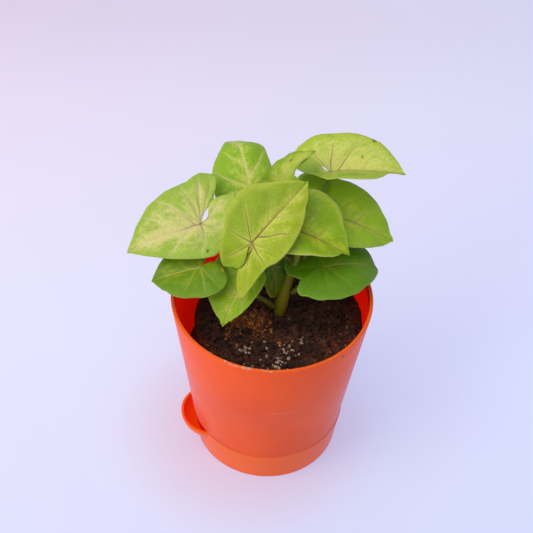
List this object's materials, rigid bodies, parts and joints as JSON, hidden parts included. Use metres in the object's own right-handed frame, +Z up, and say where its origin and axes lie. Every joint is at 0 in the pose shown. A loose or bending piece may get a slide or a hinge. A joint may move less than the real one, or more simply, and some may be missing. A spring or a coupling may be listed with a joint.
{
  "type": "potted syngonium",
  "caption": "Young arrowhead plant with broad pale green leaves on stalks, in a round tapered plastic pot that stands in a shallow reservoir tray with a filling spout.",
  "frame": {"origin": "centre of the tray's underside, on the surface it stands on", "axes": "+Z up; +Y towards the back of the plant; the filling spout points to -X"},
  "size_m": [0.1514, 0.1424, 0.173],
  "materials": {
    "tray_plastic": "satin moulded plastic",
    "pot_plastic": "satin moulded plastic",
    "potting_mix": "rough, matt, damp",
    "stem_skin": "smooth plant skin",
    "stalk_skin": "smooth plant skin",
    "blade_pale": "soft satin leaf",
    "blade_lime": "soft satin leaf",
    "blade_green": "soft satin leaf",
    "blade_deep": "soft satin leaf"
  },
  "bodies": {
    "root": {"reservoir_tray": "tray_plastic", "pot": "pot_plastic", "soil": "potting_mix", "stem": "stem_skin", "leaf_left": "blade_pale", "stalk_left": "stalk_skin", "leaf_back_left": "blade_green", "stalk_back_left": "stalk_skin", "leaf_centre": "blade_lime", "stalk_centre": "stalk_skin", "leaf_right_middle": "blade_lime", "stalk_right_middle": "stalk_skin", "leaf_right": "blade_green", "stalk_right": "stalk_skin", "leaf_back_right": "blade_pale", "stalk_back_right": "stalk_skin", "leaf_young": "blade_lime", "stalk_young": "stalk_skin", "leaf_front_left": "blade_green", "stalk_front_left": "stalk_skin", "leaf_front": "blade_green", "stalk_front": "stalk_skin", "leaf_shaded": "blade_deep", "stalk_shaded": "stalk_skin", "leaf_front_right": "blade_deep", "stalk_front_right": "stalk_skin"}
  },
  "joints": []
}
